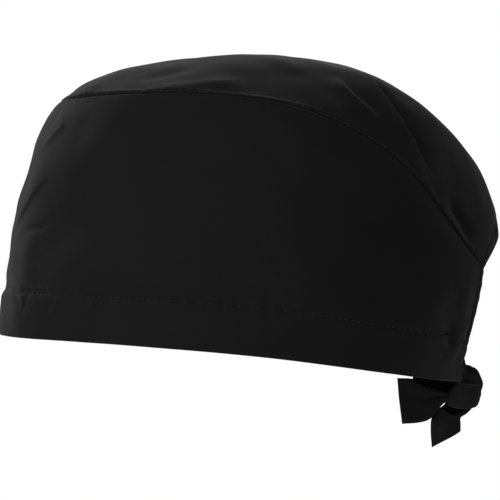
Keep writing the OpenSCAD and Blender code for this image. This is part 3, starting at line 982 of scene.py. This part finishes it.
def wrap_band():
    """The turn of cloth round the knot, fuller at its middle and sagging on the near side."""
    low = knot_ring(6.6, 0.2, 5.8, -5.7, 1.2, 0.7)
    high = knot_ring(6.6, 0.4, 6.7, 4.3) * [0.97, 0.97, 1]
    high[:, 2] += 0.25 * np.cos(2 * TURN)

    def relief(f, g):
        pull = np.cos(2 * np.pi * f)
        return (0.95 * (1 - g**2) + 0.35 * bump(g + 0.9, 0.22) + 0.45 * bump(g - 0.92, 0.18)
                + 0.07 * np.sin(3.2 * np.pi * g + 2.5 * pull)
                * (0.5 + 0.5 * np.sin(2 * np.pi * f + 1.1)))

    piece = strip_between("knot_wrap_band", at_knot(low), at_knot(high), knot_cloth_painted_light, 1.3,
                          (180, 44), relief, closed=True)
    rims = [wrap_rim("knot_wrap_upper_rim", knot_ring(7.35, 0.4, 7.45, 4.15, 0.15)),
            wrap_rim("knot_wrap_lower_rim", knot_ring(7.15, 0.2, 6.3, -5.75, 1.2, 0.7))]
    tie_piece(piece, ["knot_wrap"], "cap")


def knot_lobe():
    """The bight of the other tie, which arches over the band."""
    front = at_knot([(-4.6, -4.0, 1.0), (-5.6, -4.4, 6.0), (-3.4, -4.2, 9.8), (1.0, -3.6, 11.4),
                     (4.0, -3.2, 9.8), (3.6, -3.4, 6.0), (2.8, -3.6, 1.0)])
    rear = at_knot([(-4.6, 6.0, 1.0), (-5.6, 7.2, 4.8), (-3.4, 5.8, 8.4), (1.0, 4.9, 10.2),
                    (4.0, 5.8, 9.0), (4.0, 7.8, 5.2), (3.2, 7.4, 1.0)])

    def relief(f, g):
        dome = 1.1 * (1 - g**2)
        crease = -0.30 * bump(g + 0.30 - 0.9 * (f - 0.7), 0.13) * np.sin(np.pi * f)
        second = -0.25 * bump(g - 0.35 + 0.6 * (f - 0.6), 0.12) * np.sin(np.pi * f)
        return dome + crease + second

    piece = strip_between("knot_bight", front, rear, knot_cloth_painted_light, 1.5, (120, 44), relief)
    tie_piece(piece, ["knot_core"], "cap")


def knot_heart():
    """The tie crumpled inside the knot, which fills it between band and bight."""
    u = np.linspace(0, np.pi, 41)
    w = np.linspace(0, 2 * np.pi, 65)[:-1]
    grid_u, grid_w = np.meshgrid(u, w, indexing="ij")
    p = np.stack([5.0 * np.sin(grid_u) * np.cos(grid_w), 5.6 * np.sin(grid_u) * np.sin(grid_w),
                  8.0 * np.cos(grid_u) + 2.6], -1)
    p += unit(p) * (0.45 * waves(grid_w * 6 + 2 * np.sin(grid_u * 3), 4.2, 51)
                    * np.sin(grid_u))[..., None]
    faces = grid_faces(*grid_u.shape, wrap=True)[:, ::-1].tolist()
    piece = make_mesh("knot_heart", at_knot(p), faces, tie_cloth_painted_light, arc_uv(p))
    weld(piece)
    fix(piece)


def bend_to(piece):
    """The piece's placing is baked into its points."""
    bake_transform(piece)


def tail_piece(name, low, high, relief, node, body, seams):
    """Free end of a tie. seams are its rows of edge stitching: where each lies across it, and where
    it starts."""
    piece = strip_between(name, low, high, tie_cloth_painted_light, 1.0, (110, 60), relief,
                          taper=(0.3, 0.75))
    for row, (across, start) in enumerate(seams, 1):
        f = np.linspace(start, 0.97, 80)
        g = np.array([across - 0.02, across, across + 0.02])
        middle, normals = strip_surface(low, high, f, g, relief)
        for side_sign, word in ((1, "near"), (-1, "far")):
            out = normals[:, 1] * side_sign
            stitched = stitches(f"{name}_stitches_{row}_{word}", middle[:, 1] + out * 0.48,
                                out, thread, pitch=2.4)
            fix(stitched, body)
    bend_to(piece)
    tie_piece(piece, node, None)


def left_tail():
    """Stands forward from the knot: gathered at its root, and cut nearly square."""
    high = at_knot([(2.2, -6.6, -1.2), (3.0, -10.0, 0.0), (3.9, -14.8, 1.2), (4.4, -19.4, 1.9),
                    (4.4, -24.4, 3.9), (3.6, -31.2, 3.6)])
    low = at_knot([(2.2, -6.8, -4.4), (2.6, -9.2, -5.8), (3.0, -11.9, -10.0),
                   (3.4, -14.6, -13.4), (3.6, -19.1, -15.4), (4.6, -27.0, -16.7)])

    def relief(f, g):
        gather = np.clip(1 - f, 0, 1) ** 1.6
        return (1.3 * gather * np.sin(2.4 * np.pi * g + 0.4)
                + 0.9 * f * np.sin(np.pi * (g * 0.8 + 0.15)) + 0.5 * np.sin(2.2 * f))

    def shadow_fold_relief(f, g):
        return 0.2 * np.sin(1.5 * np.pi * g + 4 * f) * (1 - 0.7 * f)

    upper = at_knot([(8.0, -5.0, 5.4), (10.6, -9.6, 5.8), (12.0, -14.8, 6.0), (11.4, -20.0, 6.0),
                     (8.4, -24.8, 5.8)])
    under = at_knot([(-0.6, -6.2, -2.6), (0.4, -10.0, -1.2), (1.6, -14.8, 0.2), (2.4, -19.4, 1.0),
                     (3.2, -24.2, 2.6)])
    # Painted shadow: a near-black strip fills the recess between the hem's end and the tail's top
    # edge.
    turned = strip_between("tail_left_painted_shadow_fold", under, upper, fold_shade, 0.9, (90, 24),
                           shadow_fold_relief)
    bend_to(turned)
    tail_piece("tail_left_cloth", low, high, relief, ["tail_left"], "left_tail",
               [(-0.86, 0.42), (0.86, 0.42)])


def right_tail():
    """Hangs from the knot: one side is folded under, as a near-black strip of painted shadow, and
    its end is cut on the slant.
    """
    front = at_knot([(-1.2, -6.4, -3.6), (-2.0, -8.2, -7.2), (-3.0, -11.3, -10.1),
                     (-3.4, -12.7, -14.0), (-3.2, -12.3, -20.0), (-2.6, -11.1, -26.6)])
    rear = at_knot([(-0.2, 5.4, -3.6), (-1.0, 5.0, -6.4), (-2.4, 3.0, -9.6), (-2.8, 0.6, -11.8),
                    (-3.0, 0.9, -14.4), (-3.4, 1.4, -18.0)])

    def relief(f, g):
        gather = np.clip(1 - 1.2 * f, 0, 1) ** 1.3
        return (1.1 * gather * np.sin(2.2 * np.pi * g)
                + 0.7 * f * np.sin(np.pi * (0.9 * g + 0.4)))

    upper = at_knot([(0.8, -7.9, -5.6), (1.6, -4.0, -5.6), (1.8, 0.0, -5.0), (1.4, 4.6, -4.4)])
    under = at_knot([(-1.0, -8.4, -8.2), (-0.4, -4.4, -10.8), (0.2, -0.8, -9.4), (1.0, 4.2, -5.4)])
    # Painted shadow: a near-black strip fills the pit under the knot's band.
    turned = strip_between("tail_right_painted_shadow_fold", under, upper, fold_shade, 0.8, (60, 20))
    bend_to(turned)
    tail_piece("tail_right_cloth", front, rear, relief, ["tail_right"], "right_tail",
               [(-0.84, 0.5), (0.84, 0.5)])


tie(1, "tie_left_cloth", "tie_left")
tie(-1, "tie_right_cloth", "tie_right")
wrap_band()
knot_lobe()
knot_heart()
left_tail()
right_tail()

# ---------- camera, floor and light, in metres ----------

TARGET = Vector((0.0, 0.0, 0.065))
AZIMUTH, ELEVATION, ROLL = (math.radians(d) for d in (86.0, 0.0, 6.1))
DISTANCE = 1.1
LENS = 176.0
AIM = (-0.0010, -0.0160)  # how far from the target the middle of the frame is
FLOOR_HEIGHT = -1.25
LIGHT_AIM = Vector((0.0, 0.0, 0.06))
LIGHTS = [  # name, place, size across and power
    ("overhead", (0.9, -1.1, 1.1), 0.9, 2.7),
    ("front", (-0.1, -1.6, 0.6), 1.0, 1.5),
    ("rim", (-1.0, -1.0, 0.9), 0.8, 7.8),
    ("near_fill", (1.5, -0.85, 0.3), 1.4, 9.3),
    ("far_fill", (-1.6, 0.4, 0.4), 1.4, 4.6),
    ("rear_fill", (-0.6, 1.6, 0.5), 1.2, 1.9),
    ("bounce", (0.0, 0.0, -0.30), 1.6, 1.6),
]


def make_camera():
    back = Vector((math.sin(AZIMUTH) * math.cos(ELEVATION),
                   -math.cos(AZIMUTH) * math.cos(ELEVATION), math.sin(ELEVATION)))
    right = Vector((math.cos(AZIMUTH), math.sin(AZIMUTH), 0))
    up = back.cross(right)
    x = right * math.cos(ROLL) + up * math.sin(ROLL)
    y = up * math.cos(ROLL) - right * math.sin(ROLL)
    place = TARGET + back * DISTANCE
    z = (place - (TARGET + x * AIM[0] + y * AIM[1])).normalized()
    x = y.cross(z).normalized()
    y = z.cross(x)
    camera = bpy.data.objects.new("camera", bpy.data.cameras.new("camera"))
    camera.data.lens = LENS
    camera.data.clip_start = 0.05
    camera.matrix_world = Matrix.Translation(place) @ Matrix((x, y, z)).transposed().to_4x4()
    bpy.context.scene.collection.objects.link(camera)
    bpy.context.scene.camera = camera


def make_lights():
    for name, place, size, power in LIGHTS:
        light = bpy.data.lights.new(name, "AREA")
        light.shape = "DISK"
        light.size = size
        light.energy = power
        obj = bpy.data.objects.new(name, light)
        obj.location = place
        obj.rotation_euler = (Vector(place) - LIGHT_AIM).to_track_quat("Z", "Y").to_euler()
        obj.visible_camera = False
        bpy.context.scene.collection.objects.link(obj)


def pale_material():
    """Matt pale floor with a faint grain, bright enough to fade into the background."""
    pale, shader = principled("pale_floor", (0.92, 0.92, 0.92), 0.9)
    grain = add(pale.node_tree.nodes, "ShaderNodeTexNoise", Scale=40.0)
    raise_surface(pale, shader, grain.outputs["Fac"], Strength=0.05)
    shader.inputs["Emission Color"].default_value = (1, 1, 1, 1)
    shader.inputs["Emission Strength"].default_value = 1.0
    return pale


def make_floor():
    bpy.ops.mesh.primitive_circle_add(vertices=96, radius=30, fill_type="NGON",
                                      location=(0, 0, FLOOR_HEIGHT))
    floor = bpy.context.object
    floor.name = "floor"
    floor.data.materials.append(pale_material())
    floor.visible_diffuse = False
    floor.visible_glossy = False


def make_world():
    """White background that the camera sees, but that sheds no light on the cap."""
    world = bpy.data.worlds.new("studio")
    bpy.context.scene.world = world
    world.use_nodes = True
    world.node_tree.nodes["Background"].inputs["Color"].default_value = (1, 1, 1, 1)
    world.node_tree.nodes["Background"].inputs["Strength"].default_value = 1.0
    world.cycles_visibility.diffuse = False
    world.cycles_visibility.glossy = False
    bpy.context.scene.view_settings.view_transform = "Standard"


make_camera()
make_floor()
make_world()
make_lights()
